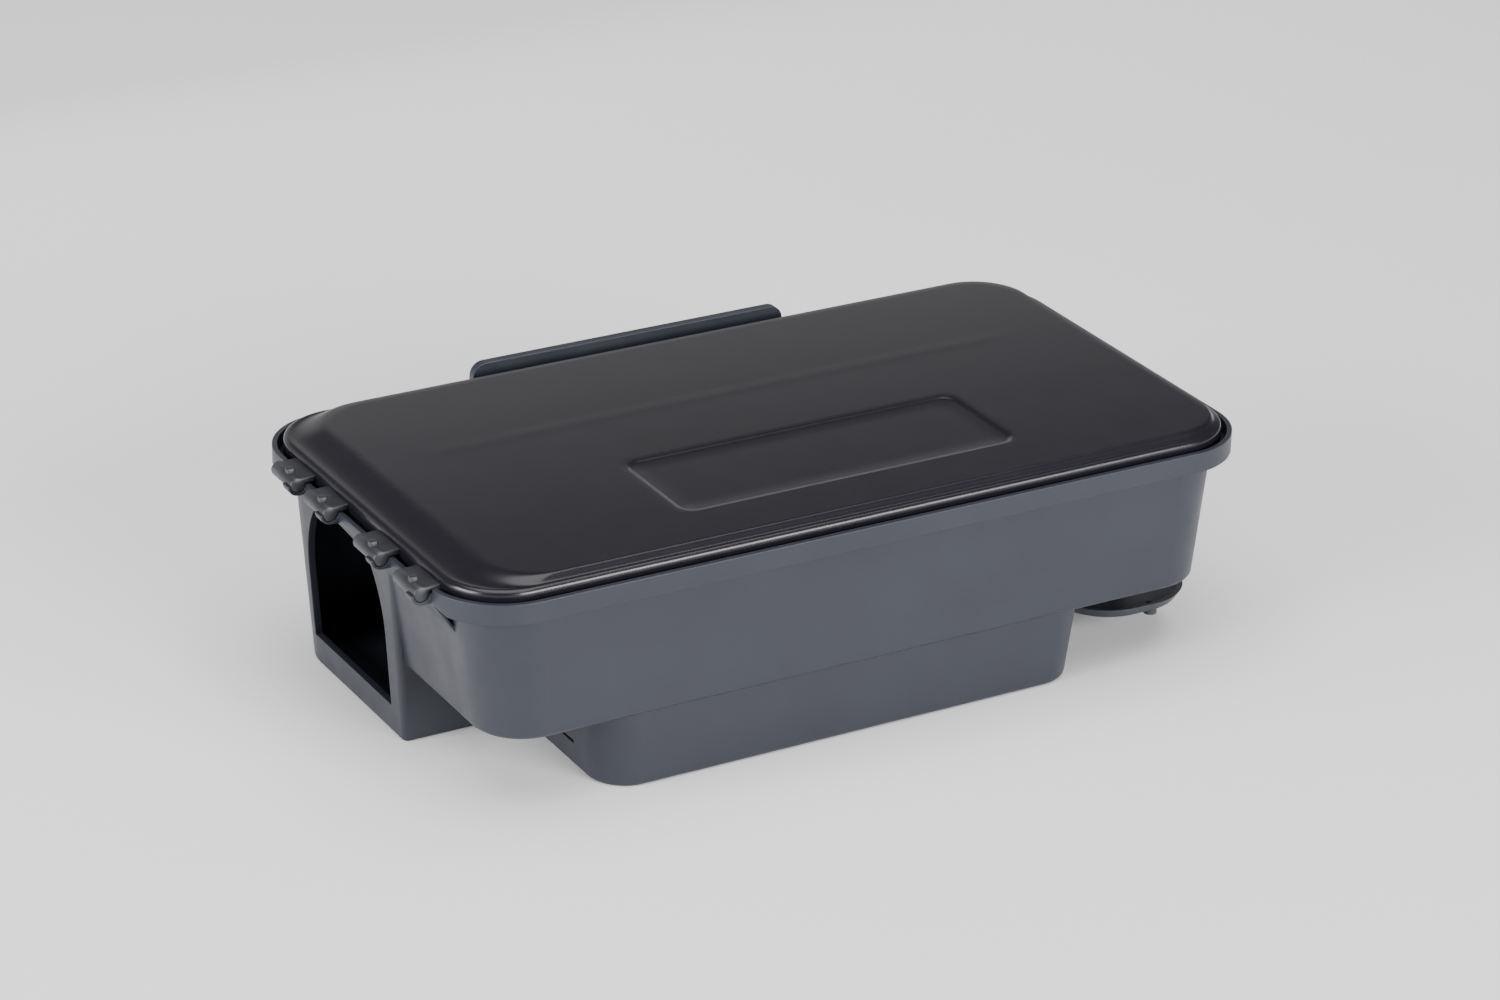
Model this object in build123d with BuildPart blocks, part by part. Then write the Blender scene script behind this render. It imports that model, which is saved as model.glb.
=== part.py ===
from build123d import *
import os
from collections import namedtuple

os.makedirs("parts", exist_ok=True)

# Lengths are in millimetres. X runs along the case from the hinge end (-X) to the lock end (+X),
# Y from the open front (-Y) to the wall side (+Y), and Z is up from the ground.

# --- rim of the case ------------------------------------------------------------------------------
rim_length = 240.0
rim_width = 133.2
rim_corner = 21.4
rim_top = 63.6
band_height = 5.7
lip_wall = 1.4
ledge_thickness = 1.7

# --- case walls: one open-topped shell ------------------------------------------------------------
wall = 2.0
end_overhang = 6.5
front_overhang = 3.4
back_overhang = 3.6
case_corner = 17.0
tray_underside = 22.2
tray_end_draft = 4.6
tray_side_draft = 1.5
tray_corner = 14.0
tray_round = 1.6

# --- tunnel: the full-depth rear half that the rodent walks through -------------------------------
tunnel_width = 71.5
tunnel_end_draft = 3.8
tunnel_back_draft = 2.0
tunnel_back_corner = 16.0
tunnel_front_corner = 1.6
tunnel_round = 0.8

# --- well: the pocket below the tray floor --------------------------------------------------------
well_length = 150.0
well_centre_x = -3.6
well_end_draft = 2.4
well_step = 1.4
well_front_draft = 1.4
well_corner = 11.0
well_round = 1.6
vent_slot_length = 7.0
vent_slot_height = 0.9
vent_slot_up = 7.4

# --- entrances, one in each end wall --------------------------------------------------------------
arch_width = 48.0
arch_sill = 8.3
arch_spring = 29.0
arch_head_gap = 1.0
arch_side_margin = 6.7

# --- sloped skirt under the straight run of the band, at the hinge end ----------------------------
skirt_top_drop = 3.2
skirt_height = 12.8
skirt_sheet = 0.9
skirt_pocket_depth = 14.0

# --- hinge at the -X end --------------------------------------------------------------------------
hinge_out = 2.1
hinge_drop = 1.4
barrel_radius = 2.1
barrel_clearance = 0.09
cup_wall = 0.7
cup_length = 3.6
cup_root = 1.0
lug_length = 13.0
lug_pair_front = -28.4
lug_pair_back = 24.4
lug_pitch_front = 23.6
lug_pitch_back = 20.4
rail_end_gap = 1.2
arm_thickness = 1.5
arm_clearance = 0.4
nub_size = 2.2
nub_height = 1.1
nub_gap = 0.4

# --- lid ------------------------------------------------------------------------------------------
lid_gap = 1.6
lid_wall = 1.8
lid_seat_gap = 0.4
lid_side_top = 66.0
lid_top = 67.7
panel_inset = 2.2
hinge_shoulder = 11.6
panel_edge_round = 0.6
label_length = 102.0
label_width = 35.2
label_centre_x = 5.0
label_centre_y = -26.6
label_corner = 5.0
label_depth = 0.6

# --- lock at the +X end ---------------------------------------------------------------------------
lock_y = -35.0
catch_setback = 2.8
catch_thickness = 1.5
catch_width = 15.0
catch_gap = 0.5
tongue_gap = 0.8
tongue_thickness = 1.8
tongue_width = 15.0
tongue_top = 57.0
nose_width = 7.0
nose_height = 4.0
nose_reach = 2.8
tongue_foot_radius = 2.0
tongue_foot_clearance = 0.09
tongue_foot_lift = 1.0
saddle_width = 7.0

# --- key, stored on two prongs under the tray -----------------------------------------------------
key_end_overhang = 5.7
key_back_gap = 2.4
key_length = 40.0
key_depth = 41.6
key_corner = 17.0
key_rim_top = 13.3
key_dish_height = 2.9
key_floor = 1.4
key_flare = 1.8
key_rim_wall = 1.3
prong_radius = 1.6
prong_spacing = 8.0
prong_socket_clearance = 0.08
prong_socket_wall = 1.6
prong_socket_length = 6.6
prong_tip_gap = 0.5
key_hole_clearance = 0.3
key_nub_radius = 1.9
key_nub_setback = 2.0
key_nub_drop = 1.6
key_nub_shift = 4.0

# --- bait holder: liner, rods, blocks and baffle --------------------------------------------------
liner_gap = 0.4
liner_wall = 1.2
liner_height = 16.0
rod_radius = 1.6
rod_length = 50.0
rod_spacing = 76.0
rod_clearance = 0.3
rod_foot_radius = 4.0
rod_foot_height = 1.2
rod_tip_chamfer = 0.8
block_side = 29.0
block_height = 20.5
block_corner = 4.0
block_gap = 0.4
block_chamfer = 1.0
baffle_length = 118.0
baffle_thickness = 1.6
baffle_slot_gap = 0.3
baffle_slot_depth = 2.0
baffle_head_gap = 6.0
baffle_corner = 6.0
post_wall = 1.4

# --- wall side ------------------------------------------------------------------------------------
tab_length = 98.0
tab_centre_x = -3.2
tab_top = 68.9
tab_bottom = 50.0
tab_thickness = 1.8
tab_corner = 4.0
screw_spacing = 70.0
screw_level = 42.0
screw_hole_radius = 2.3
screw_boss_radius = 6.0

# --- shared limits --------------------------------------------------------------------------------
least_corner = 1.0
past = 5.0

# --- derived levels and positions -----------------------------------------------------------------
half_length = rim_length / 2
half_width = rim_width / 2
band_bottom = rim_top - band_height
ledge_top = band_bottom + ledge_thickness
tray_floor = tray_underside + wall
wall_end_x = half_length - end_overhang
wall_front_y = -half_width + front_overhang
wall_back_y = half_width - back_overhang
tunnel_front_y = wall_back_y - tunnel_width
arch_centre_y = tunnel_front_y + arch_side_margin + arch_width / 2
arch_top = band_bottom - arch_head_gap
lid_inset = lip_wall + lid_gap
lid_bottom = ledge_top + lid_seat_gap
lid_left_x = -half_length + lid_inset
lid_right_x = half_length - lid_inset
lid_front_y = -half_width + lid_inset
lid_back_y = half_width - lid_inset
lid_corner = rim_corner - lid_inset
skirt_half = half_width - rim_corner
skirt_top = rim_top - skirt_top_drop
skirt_bottom = skirt_top - skirt_height
skirt_lean = (end_overhang + wall) / skirt_height
hinge_x = -half_length - hinge_out
hinge_z = rim_top - hinge_drop
lug_pairs = ((lug_pair_front, lug_pitch_front), (lug_pair_back, lug_pitch_back))
lug_centres = [pair + side * pitch / 2 for pair, pitch in lug_pairs for side in (-1, 1)]
rail_low = min(lug_centres) - lug_length / 2 - rail_end_gap
rail_high = max(lug_centres) + lug_length / 2 + rail_end_gap
catch_outer_x = wall_end_x - wall - catch_setback
catch_inner_x = catch_outer_x - catch_thickness
tongue_outer_x = catch_inner_x - tongue_gap
tongue_x = tongue_outer_x - tongue_thickness / 2
tongue_pivot_z = tray_floor + tongue_foot_radius + tongue_foot_lift
nose_level = tongue_top - nose_height
catch_bottom = tongue_top + catch_gap
key_centre_x = wall_end_x - tray_end_draft + key_end_overhang - key_length / 2
key_centre_y = tunnel_front_y - key_back_gap - key_depth / 2
well_floor = wall
liner_floor_z = well_floor + liner_gap
wall_plane_y = half_width + tab_thickness

Outline = namedtuple("Outline", "x_low x_high y_low y_high corner level")


def shrink(outline, by, level):
    """The same outline moved inwards by a wall thickness, at another level."""
    return Outline(
        outline.x_low + by,
        outline.x_high - by,
        outline.y_low + by,
        outline.y_high - by,
        max(outline.corner - by, least_corner),
        level,
    )


def rounded(outline):
    """A rounded rectangle drawn at its own level."""
    with BuildSketch(Plane.XY.offset(outline.level)) as plan:
        with Locations(
            ((outline.x_low + outline.x_high) / 2, (outline.y_low + outline.y_high) / 2)
        ):
            RectangleRounded(
                outline.x_high - outline.x_low, outline.y_high - outline.y_low, outline.corner
            )
    return plan.sketch


def drafted(lower, upper, mode=Mode.ADD):
    """A straight-sided block between two rounded outlines."""
    loft([rounded(lower), rounded(upper)], ruled=True, mode=mode)


def slab(outline, top, mode=Mode.ADD):
    """An upright block on one rounded outline."""
    extrude(rounded(outline), amount=top - outline.level, mode=mode)


def box_between(x, y, z, mode=Mode.ADD):
    """A plain box from its (low, high) pairs."""
    with Locations(((x[0] + x[1]) / 2, (y[0] + y[1]) / 2, (z[0] + z[1]) / 2)):
        Box(x[1] - x[0], y[1] - y[0], z[1] - z[0], mode=mode)


def lie_along_y(x, y_low, y_high, z, radius, mode=Mode.ADD):
    """A round bar along Y."""
    with BuildSketch(Plane.XZ.offset(-y_high)) as end:
        with Locations((x, z)):
            Circle(radius)
    extrude(end.sketch, amount=y_high - y_low, mode=mode)


def skirt_face_x(level):
    """Place along X of the skirt's sloped outer face at a level."""
    return -half_length + (skirt_top - level) * skirt_lean


def prism_along_y(corners, y_low, y_high, mode=Mode.ADD):
    """A straight prism along Y from its (x, z) corners."""
    with BuildSketch(Plane.XZ.offset(-y_high)) as end:
        with BuildLine():
            Polyline(*corners, close=True)
        make_face()
    extrude(end.sketch, amount=y_high - y_low, mode=mode)


def tunnel_profile(level, end_inset, back_inset, shrink_by=0.0):
    """Plan of the tunnel: tight front corners, wide back corners."""
    x_half = wall_end_x - end_inset - shrink_by
    y_low = tunnel_front_y + shrink_by
    y_high = wall_back_y - back_inset - shrink_by
    with BuildSketch(Plane.XY.offset(level)) as plan:
        with Locations((0, (y_low + y_high) / 2)):
            Rectangle(2 * x_half, y_high - y_low)
        fillet(plan.vertices().group_by(Axis.Y)[-1], tunnel_back_corner - shrink_by)
        fillet(plan.vertices().group_by(Axis.Y)[0], tunnel_front_corner)
    return plan.sketch


# --- outlines -------------------------------------------------------------------------------------
rim_outline = Outline(-half_length, half_length, -half_width, half_width, rim_corner, band_bottom)
case_upper = Outline(-wall_end_x, wall_end_x, wall_front_y, wall_back_y, case_corner, band_bottom)
case_lower = Outline(
    -wall_end_x + tray_end_draft,
    wall_end_x - tray_end_draft,
    wall_front_y + tray_side_draft,
    wall_back_y - tray_side_draft,
    tray_corner,
    tray_underside,
)
well_upper = Outline(
    well_centre_x - well_length / 2,
    well_centre_x + well_length / 2,
    case_lower.y_low + well_step,
    tunnel_front_y + well_corner + well_round,
    well_corner,
    tray_underside + wall / 2,
)
well_lower = Outline(
    well_upper.x_low + well_end_draft,
    well_upper.x_high - well_end_draft,
    well_upper.y_low + well_front_draft,
    well_upper.y_high,
    well_corner,
    0.0,
)

# --- outer skins of the base, each with its lower edge rounded ------------------------------------
with BuildPart() as case_skin:
    drafted(case_lower, case_upper)
    fillet(case_skin.faces().sort_by(Axis.Z)[0].edges(), tray_round)

with BuildPart() as tunnel_skin:
    tunnel_foot = tunnel_profile(0.0, tunnel_end_draft, tunnel_back_draft)
    tunnel_head = tunnel_profile(band_bottom, 0.0, 0.0)
    loft([tunnel_foot, tunnel_head], ruled=True)
    fillet(tunnel_skin.faces().sort_by(Axis.Z)[0].edges(), tunnel_round)

with BuildPart() as well_skin:
    drafted(well_lower, well_upper)
    fillet(well_skin.faces().sort_by(Axis.Z)[0].edges(), well_round)
    box_between(
        (well_lower.x_low - past, well_lower.x_high + past),
        (tunnel_front_y, well_lower.y_high + past),
        (-past, well_upper.level + past),
        mode=Mode.SUBTRACT,
    )

# --- base: rim, tray, tunnel and well in one moulding ---------------------------------------------
with BuildPart() as base:
    add(case_skin.part)
    add(tunnel_skin.part)
    add(well_skin.part)

    # outward ledge under the lid and the upstanding lip round it
    slab(rim_outline, rim_top)
    slab(shrink(rim_outline, lip_wall, ledge_top), rim_top + past, mode=Mode.SUBTRACT)

    # inside of the case, down to the tray floor
    case_inner_upper = shrink(case_upper, wall, band_bottom)
    case_inner_lower = shrink(case_lower, wall, tray_floor)
    slab(case_inner_upper, rim_top + past, mode=Mode.SUBTRACT)
    drafted(case_inner_lower, case_inner_upper, mode=Mode.SUBTRACT)

    # inside of the tunnel
    corridor_floor = tunnel_profile(wall, tunnel_end_draft, tunnel_back_draft, wall)
    corridor_head = tunnel_profile(band_bottom, 0.0, 0.0, wall)
    loft([corridor_floor, corridor_head], ruled=True, mode=Mode.SUBTRACT)

    # inside of the well
    well_inner_upper = shrink(well_upper, wall, tray_floor + wall)._replace(y_high=tunnel_front_y)
    well_inner_lower = shrink(well_lower, wall, well_floor)._replace(y_high=tunnel_front_y)
    drafted(well_inner_lower, well_inner_upper, mode=Mode.SUBTRACT)

    # sloped skirt: the band's lower edge is cut back to the slope, which fades out round the corners,
    # and along the straight run the slope goes on down into the wall
    prism_along_y(
        (
            (skirt_face_x(skirt_top + past), skirt_top + past),
            (skirt_face_x(band_bottom - ledge_thickness), band_bottom - ledge_thickness),
            (skirt_face_x(skirt_top + past), band_bottom - ledge_thickness),
        ),
        -half_width,
        half_width,
        mode=Mode.SUBTRACT,
    )
    skirt_head = band_bottom + ledge_thickness / 2
    prism_along_y(
        (
            (skirt_face_x(skirt_head), skirt_head),
            (skirt_face_x(skirt_bottom), skirt_bottom),
            (-wall_end_x + wall / 2, skirt_head),
        ),
        -skirt_half,
        skirt_half,
    )

    # the skirt is a thin sheet at its front end, open towards the front
    wall_lean = tray_end_draft / (band_bottom - tray_underside)
    sheet_x = skirt_face_x(band_bottom) + skirt_sheet
    pocket_drop = (-wall_end_x - sheet_x) / (skirt_lean - wall_lean)
    prism_along_y(
        (
            (sheet_x, band_bottom),
            (-wall_end_x, band_bottom),
            (-wall_end_x + pocket_drop * wall_lean, band_bottom - pocket_drop),
        ),
        -skirt_half - least_corner,
        -skirt_half + skirt_pocket_depth,
        mode=Mode.SUBTRACT,
    )

    # entrances through both end walls
    for end in (-1, 1):
        start = wall_end_x - tunnel_end_draft - 3 * wall
        with BuildSketch(Plane.YZ.offset(end * start)):
            with Locations((arch_centre_y, (arch_sill + arch_spring) / 2)):
                Rectangle(arch_width, arch_spring - arch_sill)
            with Locations((arch_centre_y, arch_spring)):
                Ellipse(arch_width / 2, arch_top - arch_spring)
            # nothing is cut below the sill, however low the arch springs
            with Locations((arch_centre_y, arch_sill - arch_width / 2)):
                Rectangle(2 * arch_width, arch_width, mode=Mode.SUBTRACT)
        extrude(amount=end * (half_length - start), mode=Mode.SUBTRACT)

    # hinge cups, open upwards, at the front end of each lug
    for centre in lug_centres:
        cup_low = centre - lug_length / 2
        cup_radius = barrel_radius + barrel_clearance + cup_wall
        lie_along_y(hinge_x, cup_low, cup_low + cup_length, hinge_z, cup_radius)
        box_between(
            (hinge_x, -half_length + cup_root),
            (cup_low, cup_low + cup_length),
            (hinge_z - cup_radius, hinge_z - barrel_radius),
        )
    lie_along_y(
        hinge_x,
        rail_low,
        rail_high,
        hinge_z,
        barrel_radius + barrel_clearance,
        mode=Mode.SUBTRACT,
    )

    # lip lowered along the hinge, for the lid's arms
    box_between(
        (hinge_x - past, -half_length + lip_wall + past),
        (rail_low, rail_high),
        (hinge_z, rim_top + past),
        mode=Mode.SUBTRACT,
    )

    # drain slots in the well's end wall
    box_between(
        (well_lower.x_low - past, well_lower.x_low + past),
        (lock_y - vent_slot_length, lock_y),
        (vent_slot_up, vent_slot_up + vent_slot_height),
        mode=Mode.SUBTRACT,
    )

    # wall tab along the back and its screw bosses
    with BuildSketch(Plane.XZ.offset(-wall_plane_y)) as tab_face:
        with Locations((tab_centre_x, (tab_bottom + tab_top) / 2)):
            Rectangle(tab_length, tab_top - tab_bottom)
        fillet(tab_face.vertices(), tab_corner)
    extrude(amount=tab_thickness + lip_wall / 2)
    for side in (-1, 1):
        with BuildSketch(Plane.XZ.offset(-wall_plane_y)):
            with Locations((tab_centre_x + side * screw_spacing / 2, screw_level)):
                Circle(screw_boss_radius)
        extrude(amount=wall_plane_y - wall_back_y + wall)
        with BuildSketch(Plane.XZ.offset(-wall_plane_y - past)):
            with Locations((tab_centre_x + side * screw_spacing / 2, screw_level)):
                Circle(screw_hole_radius)
        extrude(amount=4 * past, mode=Mode.SUBTRACT)

    # rod sockets on the well floor
    for side in (-1, 1):
        with Locations(
            (
                well_centre_x + side * rod_spacing / 2,
                (well_inner_lower.y_low + well_inner_lower.y_high) / 2,
                wall / 2,
            )
        ):
            Hole(rod_radius + prong_socket_clearance, depth=wall)

    # saddle that the lock tongue pivots in, on the tray floor
    box_between(
        (tongue_x - saddle_width / 2, tongue_x + saddle_width / 2),
        (lock_y - tongue_width / 2 - wall, lock_y + tongue_width / 2 + wall),
        (tray_floor - wall / 2, tongue_pivot_z),
    )
    lie_along_y(
        tongue_x,
        lock_y - tongue_width / 2 - baffle_slot_gap,
        lock_y + tongue_width / 2 + baffle_slot_gap,
        tongue_pivot_z,
        tongue_foot_radius + tongue_foot_clearance,
        mode=Mode.SUBTRACT,
    )

    # sockets under the tray for the key's prongs
    socket_bottom = tray_underside - prong_socket_length
    for side in (-1, 1):
        with BuildSketch(Plane.XY.offset(socket_bottom)):
            with Locations((key_centre_x + side * prong_spacing / 2, key_centre_y)):
                Circle(prong_radius + prong_socket_clearance + prong_socket_wall)
        extrude(amount=prong_socket_length + wall / 2)
    for side in (-1, 1):
        with BuildSketch(Plane.XY.offset(socket_bottom)):
            with Locations((key_centre_x + side * prong_spacing / 2, key_centre_y)):
                Circle(prong_radius + prong_socket_clearance)
        extrude(amount=prong_socket_length, mode=Mode.SUBTRACT)

    # key holes through the lock end
    for side in (-1, 1):
        with BuildSketch(Plane.YZ.offset(tongue_outer_x + nose_reach)):
            with Locations((lock_y + side * prong_spacing / 2, nose_level)):
                Circle(prong_radius + key_hole_clearance)
        extrude(amount=half_length, mode=Mode.SUBTRACT)

    # slotted posts for the baffle, on top of the step between well and tunnel
    baffle_y = tunnel_front_y + wall / 2
    for side in (-1, 1):
        slot_end = side * (baffle_length / 2 + baffle_slot_gap)
        post_x = sorted((slot_end - side * baffle_slot_depth, slot_end + side * post_wall))
        post_half = baffle_thickness / 2 + baffle_slot_gap + post_wall
        box_between(
            post_x,
            (baffle_y - post_half, baffle_y + post_half),
            (tray_floor - wall, band_bottom - baffle_head_gap),
        )
        slot_x = sorted((slot_end - side * (baffle_slot_depth + past), slot_end))
        slot_half = baffle_thickness / 2 + baffle_slot_gap
        box_between(
            slot_x,
            (baffle_y - slot_half, baffle_y + slot_half),
            (tray_floor + baffle_slot_gap, rim_top),
            mode=Mode.SUBTRACT,
        )

base.part.label = "base"
export_step(base.part, "parts/base.step")

# --- lid ------------------------------------------------------------------------------------------
lid_outline = Outline(lid_left_x, lid_right_x, lid_front_y, lid_back_y, lid_corner, lid_bottom)
side_top_outline = shrink(lid_outline, 0.0, lid_side_top)
panel_outline = Outline(
    lid_left_x + hinge_shoulder,
    lid_right_x - panel_inset,
    lid_front_y + panel_inset,
    lid_back_y - panel_inset,
    lid_corner - panel_inset,
    lid_top,
)
with BuildPart() as lid:
    slab(lid_outline, lid_side_top)
    drafted(side_top_outline, panel_outline)
    fillet(lid.faces().sort_by(Axis.Z)[-1].edges(), panel_edge_round)

    # hollow underside
    slab(shrink(lid_outline, lid_wall, lid_bottom), lid_side_top - lid_wall, mode=Mode.SUBTRACT)

    # shallow recess for a label, left blank
    label_half_x = label_length / 2
    label_half_y = label_width / 2
    slab(
        Outline(
            label_centre_x - label_half_x,
            label_centre_x + label_half_x,
            label_centre_y - label_half_y,
            label_centre_y + label_half_y,
            label_corner,
            lid_top - label_depth,
        ),
        lid_top + past,
        mode=Mode.SUBTRACT,
    )

    # hinge arms and barrels
    arm_bottom = hinge_z + arm_clearance
    for centre in lug_centres:
        lug_low = centre - lug_length / 2
        lug_high = centre + lug_length / 2
        lie_along_y(hinge_x, lug_low, lug_high, hinge_z, barrel_radius)
        box_between(
            (hinge_x, lid_left_x + lid_wall / 2),
            (lug_low, lug_high),
            (arm_bottom, arm_bottom + arm_thickness),
        )
        nub_bottom = hinge_z + barrel_radius - nub_height
        nub_low = lug_low + cup_length + nub_gap
        box_between(
            (hinge_x - nub_size / 2, hinge_x + nub_size / 2),
            (nub_low, nub_low + nub_size),
            (nub_bottom, nub_bottom + 2 * nub_height),
        )

    # catch plate, which ends just above the lock tongue
    box_between(
        (catch_inner_x, catch_outer_x),
        (lock_y - catch_width / 2, lock_y + catch_width / 2),
        (catch_bottom, lid_side_top - lid_wall / 2),
    )

lid.part.label = "lid"
export_step(lid.part, "parts/lid.step")

# --- lock tongue: a springy upright that the key's prongs push inwards ----------------------------
with BuildPart() as lock_tongue:
    lie_along_y(
        tongue_x,
        lock_y - tongue_width / 2,
        lock_y + tongue_width / 2,
        tongue_pivot_z,
        tongue_foot_radius,
    )
    box_between(
        (tongue_outer_x - tongue_thickness, tongue_outer_x),
        (lock_y - tongue_width / 2, lock_y + tongue_width / 2),
        (tongue_pivot_z, tongue_top),
    )
    with BuildSketch(Plane.XZ.offset(-(lock_y + nose_width / 2))):
        with BuildLine():
            Polyline(
                (tongue_x, nose_level - nose_height / 2),
                (tongue_outer_x + nose_reach, nose_level - nose_height / 2),
                (tongue_outer_x + nose_reach, nose_level),
                (tongue_outer_x, nose_level + nose_height),
                (tongue_x, nose_level + nose_height),
                close=True,
            )
        make_face()
    extrude(amount=nose_width)

lock_tongue.part.label = "lock_tongue"
export_step(lock_tongue.part, "parts/lock_tongue.step")

# --- key: a dished oval head with two prongs and a finger nub -------------------------------------
key_bottom = key_rim_top - key_dish_height
key_upper = Outline(
    key_centre_x - key_length / 2,
    key_centre_x + key_length / 2,
    key_centre_y - key_depth / 2,
    key_centre_y + key_depth / 2,
    key_corner,
    key_rim_top,
)
with BuildPart() as key:
    drafted(shrink(key_upper, key_flare, key_bottom), key_upper)
    fillet(key.faces().sort_by(Axis.Z)[0].edges(), key_floor / 2)
    drafted(
        shrink(key_upper, key_flare + key_rim_wall, key_bottom + key_floor),
        shrink(key_upper, key_rim_wall, key_rim_top),
        mode=Mode.SUBTRACT,
    )
    prong_tip = tray_underside - prong_tip_gap
    for side in (-1, 1):
        with BuildSketch(Plane.XY.offset(key_bottom + key_floor / 2)):
            with Locations((key_centre_x + side * prong_spacing / 2, key_centre_y)):
                Circle(prong_radius)
        extrude(amount=prong_tip - key_bottom - key_floor / 2)
    nub_y = key_centre_y - key_depth / 2 + key_nub_setback + key_nub_radius
    nub_x = key_centre_x + key_nub_shift
    with Locations((nub_x, nub_y, key_bottom)):
        Sphere(key_nub_radius)
    with Locations((nub_x, nub_y, key_bottom - key_nub_drop / 2)):
        Cylinder(key_nub_radius, key_nub_drop)

key.part.label = "key"
export_step(key.part, "parts/key.step")

# --- bait tray: a lift-out liner in the well ------------------------------------------------------
liner_lower = shrink(well_inner_lower, liner_gap, liner_floor_z)
liner_upper = shrink(well_inner_lower, liner_gap, liner_floor_z + liner_height)
rod_y = (well_inner_lower.y_low + well_inner_lower.y_high) / 2
with BuildPart() as bait_tray:
    drafted(liner_lower, liner_upper)
    drafted(
        shrink(liner_lower, liner_wall, liner_floor_z + liner_wall),
        shrink(liner_upper, liner_wall, liner_floor_z + liner_height),
        mode=Mode.SUBTRACT,
    )
    for side in (-1, 1):
        with Locations((well_centre_x + side * rod_spacing / 2, rod_y, liner_floor_z + liner_wall)):
            Hole(rod_radius + rod_clearance, depth=2 * liner_wall)

bait_tray.part.label = "bait_tray"
export_step(bait_tray.part, "parts/bait_tray.step")

# --- bait rods: steel pins standing in the well floor ---------------------------------------------
foot_bottom = liner_floor_z + liner_wall + liner_gap / 2
for side, name in ((-1, "bait_rod_left"), (1, "bait_rod_right")):
    rod_x = well_centre_x + side * rod_spacing / 2
    with BuildPart() as bait_rod:
        with BuildSketch(Plane.XY.offset(wall / 2)):
            with Locations((rod_x, rod_y)):
                Circle(rod_radius)
        extrude(amount=rod_length)
        chamfer(bait_rod.faces().sort_by(Axis.Z)[-1].edges(), rod_tip_chamfer)
        with BuildSketch(Plane.XY.offset(foot_bottom)):
            with Locations((rod_x, rod_y)):
                Circle(rod_foot_radius)
        extrude(amount=rod_foot_height)
    bait_rod.part.label = name
    export_step(bait_rod.part, "parts/" + name + ".step")

# --- bait blocks: two stacked on each rod ---------------------------------------------------------
stack_bottom = foot_bottom + rod_foot_height + block_gap
for side, side_name in ((-1, "left"), (1, "right")):
    rod_x = well_centre_x + side * rod_spacing / 2
    for layer, layer_name in ((0, "lower"), (1, "upper")):
        block_bottom = stack_bottom + layer * (block_height + block_gap)
        with BuildPart() as bait_block:
            with BuildSketch(Plane.XY.offset(block_bottom)) as block_plan:
                with Locations((rod_x, rod_y)):
                    Rectangle(block_side, block_side)
                chamfer(block_plan.vertices(), block_corner)
            extrude(amount=block_height)
            chamfer(bait_block.faces().sort_by(Axis.Z)[-1].edges(), block_chamfer)
            chamfer(bait_block.faces().sort_by(Axis.Z)[0].edges(), block_chamfer)
            with Locations((rod_x, rod_y, block_bottom + block_height)):
                Hole(rod_radius + rod_clearance, depth=block_height)
        name = "bait_block_" + side_name + "_" + layer_name
        bait_block.part.label = name
        export_step(bait_block.part, "parts/" + name + ".step")

# --- baffle: slides down into the posts between bait and tunnel -----------------------------------
baffle_bottom = tray_floor + 2 * baffle_slot_gap
baffle_top = band_bottom - baffle_head_gap + post_wall
with BuildPart() as baffle:
    with BuildSketch(Plane.XZ.offset(-(baffle_y + baffle_thickness / 2))) as baffle_face:
        with Locations((0, (baffle_bottom + baffle_top) / 2)):
            Rectangle(baffle_length, baffle_top - baffle_bottom)
        fillet(baffle_face.vertices().group_by(Axis.Y)[-1], baffle_corner)
    extrude(amount=baffle_thickness)

baffle.part.label = "baffle"
export_step(baffle.part, "parts/baffle.step")
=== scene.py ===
"""Looks of a bait station: lid, bait blocks, plastics, steel, wax, studio and camera.

Everything is in metres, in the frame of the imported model: X runs from the hinge end to the lock end,
Y from the open front to the wall side, Z up from the ground.
"""

import logging
import math
from dataclasses import dataclass, field
from enum import Enum

import bmesh
import bpy
import numpy as np
from mathutils import Matrix, Vector


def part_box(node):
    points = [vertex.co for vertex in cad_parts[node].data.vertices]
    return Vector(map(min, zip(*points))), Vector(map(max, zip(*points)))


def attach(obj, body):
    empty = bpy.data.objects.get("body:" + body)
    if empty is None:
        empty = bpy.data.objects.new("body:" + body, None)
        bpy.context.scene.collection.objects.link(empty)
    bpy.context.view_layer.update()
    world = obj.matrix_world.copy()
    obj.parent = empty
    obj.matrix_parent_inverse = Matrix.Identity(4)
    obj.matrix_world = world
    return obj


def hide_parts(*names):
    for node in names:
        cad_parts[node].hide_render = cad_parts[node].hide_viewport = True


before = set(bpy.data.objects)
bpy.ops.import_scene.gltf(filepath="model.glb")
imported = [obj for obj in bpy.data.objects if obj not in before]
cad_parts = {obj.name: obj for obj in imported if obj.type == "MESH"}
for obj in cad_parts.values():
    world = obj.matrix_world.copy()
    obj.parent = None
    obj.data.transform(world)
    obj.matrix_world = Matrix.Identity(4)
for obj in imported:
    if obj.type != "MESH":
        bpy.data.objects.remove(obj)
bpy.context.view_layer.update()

logging.basicConfig(level=logging.INFO, format="%(message)s")
LOG = logging.getLogger("bait_station")

MM = 0.001
Triple = tuple[float, float, float]
Colour = Triple


class Body(Enum):
    """The moving bodies that a piece can ride on."""

    CASE = "case"
    LID = "lid"


class Slot(Enum):
    """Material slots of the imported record."""

    HOUSING = "housing_plastic"
    LID = "lid_plastic"
    KEY = "key_plastic"
    LINER = "liner_plastic"
    STEEL = "rod_steel"
    WAX = "bait_wax"


# --- node graphs -----------------------------------------------------------------------------------


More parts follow.
